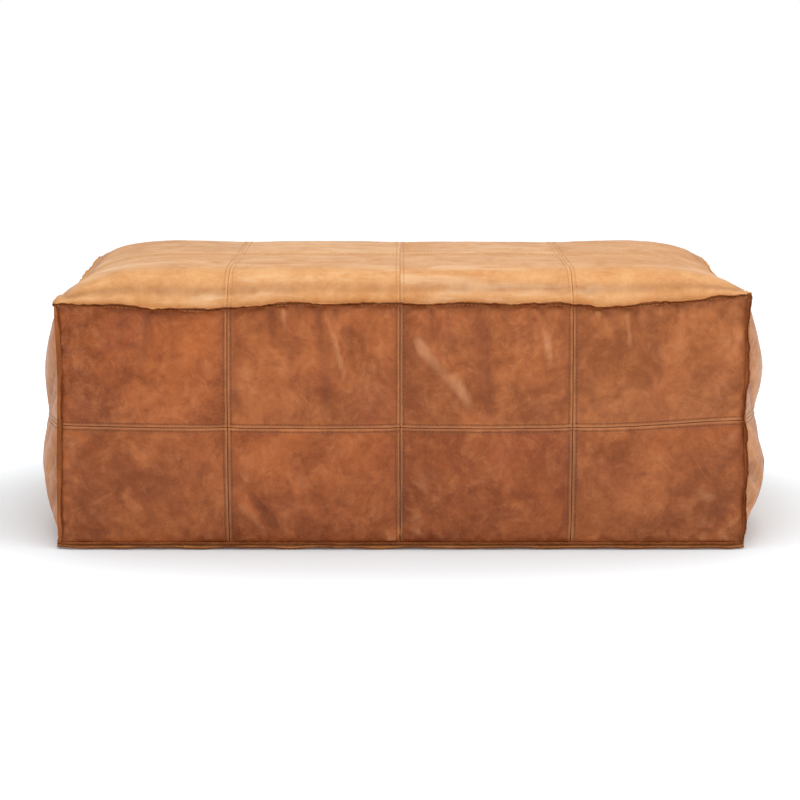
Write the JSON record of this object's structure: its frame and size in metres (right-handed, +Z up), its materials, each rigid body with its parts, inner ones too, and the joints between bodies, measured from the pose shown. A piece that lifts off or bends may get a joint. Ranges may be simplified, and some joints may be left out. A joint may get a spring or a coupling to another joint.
{
  "type": "leather floor pouf",
  "caption": "Long rectangular leather patchwork pouf with raw-edge seams, stuffed cover, liner, foam filling and a zip along the base.",
  "frame": {"origin": "on the floor, under the middle of the pouf", "axes": "+X along the length, -Y the front, +Z up"},
  "size_m": [1.2216, 0.6058, 0.4631],
  "materials": {
    "leather": "satin",
    "leather_edge": "matte",
    "thread": "matte",
    "zip_tape": "matte",
    "zip_metal": "satin",
    "liner_cloth": "matte",
    "wadding": "matte",
    "foam": "matte"
  },
  "bodies": {
    "pouf": {"back_left_corner_welt": "leather_edge", "back_lower_patch_1": "leather", "back_lower_patch_2": "leather", "back_lower_patch_3": "leather", "back_lower_patch_4": "leather", "back_right_corner_welt": "leather_edge", "back_stitching": "thread", "back_upper_patch_1": "leather", "back_upper_patch_2": "leather", "back_upper_patch_3": "leather", "back_upper_patch_4": "leather", "base_back_panel": "leather", "base_front_panel": "leather", "base_welt": "leather_edge", "base_zip_tab_left": "leather", "base_zip_tab_right": "leather", "foam_block": "foam", "front_left_corner_welt": "leather_edge", "front_lower_patch_1": "leather", "front_lower_patch_2": "leather", "front_lower_patch_3": "leather", "front_lower_patch_4": "leather", "front_right_corner_welt": "leather_edge", "front_stitching": "thread", "front_upper_patch_1": "leather", "front_upper_patch_2": "leather", "front_upper_patch_3": "leather", "front_upper_patch_4": "leather", "left_lower_back_patch": "leather", "left_lower_front_patch": "leather", "left_stitching": "thread", "left_upper_back_patch": "leather", "left_upper_front_patch": "leather", "liner_bag": "liner_cloth", "right_lower_back_patch": "leather", "right_lower_front_patch": "leather", "right_stitching": "thread", "right_upper_back_patch": "leather", "right_upper_front_patch": "leather", "top_back_patch_1": "leather", "top_back_patch_2": "leather", "top_back_patch_3": "leather", "top_back_patch_4": "leather", "top_back_welt": "leather_edge", "top_front_patch_1": "leather", "top_front_patch_2": "leather", "top_front_patch_3": "leather", "top_front_patch_4": "leather", "top_front_welt": "leather_edge", "top_left_welt": "leather_edge", "top_right_welt": "leather_edge", "top_stitching": "thread", "wadding": "wadding", "zip_end_stops": "zip_metal", "zip_tape_back": "zip_tape", "zip_tape_front": "zip_tape", "zip_teeth_back": "zip_metal", "zip_teeth_front": "zip_metal"},
    "slider": {"zip_slider": "zip_metal"},
    "pull": {"zip_pull": "zip_metal"}
  },
  "joints": [
    {"name": "zip_travel", "type": "slide", "parent": "pouf", "child": "slider", "axis": [-1, 0, 0], "range_m": [0, 0.96]},
    {"name": "pull_swing", "type": "hinge", "parent": "slider", "child": "pull", "pos_m": [0.48, 0, 0.0092], "axis": [0, -1, 0], "range_deg": [0, 175]}
  ]
}
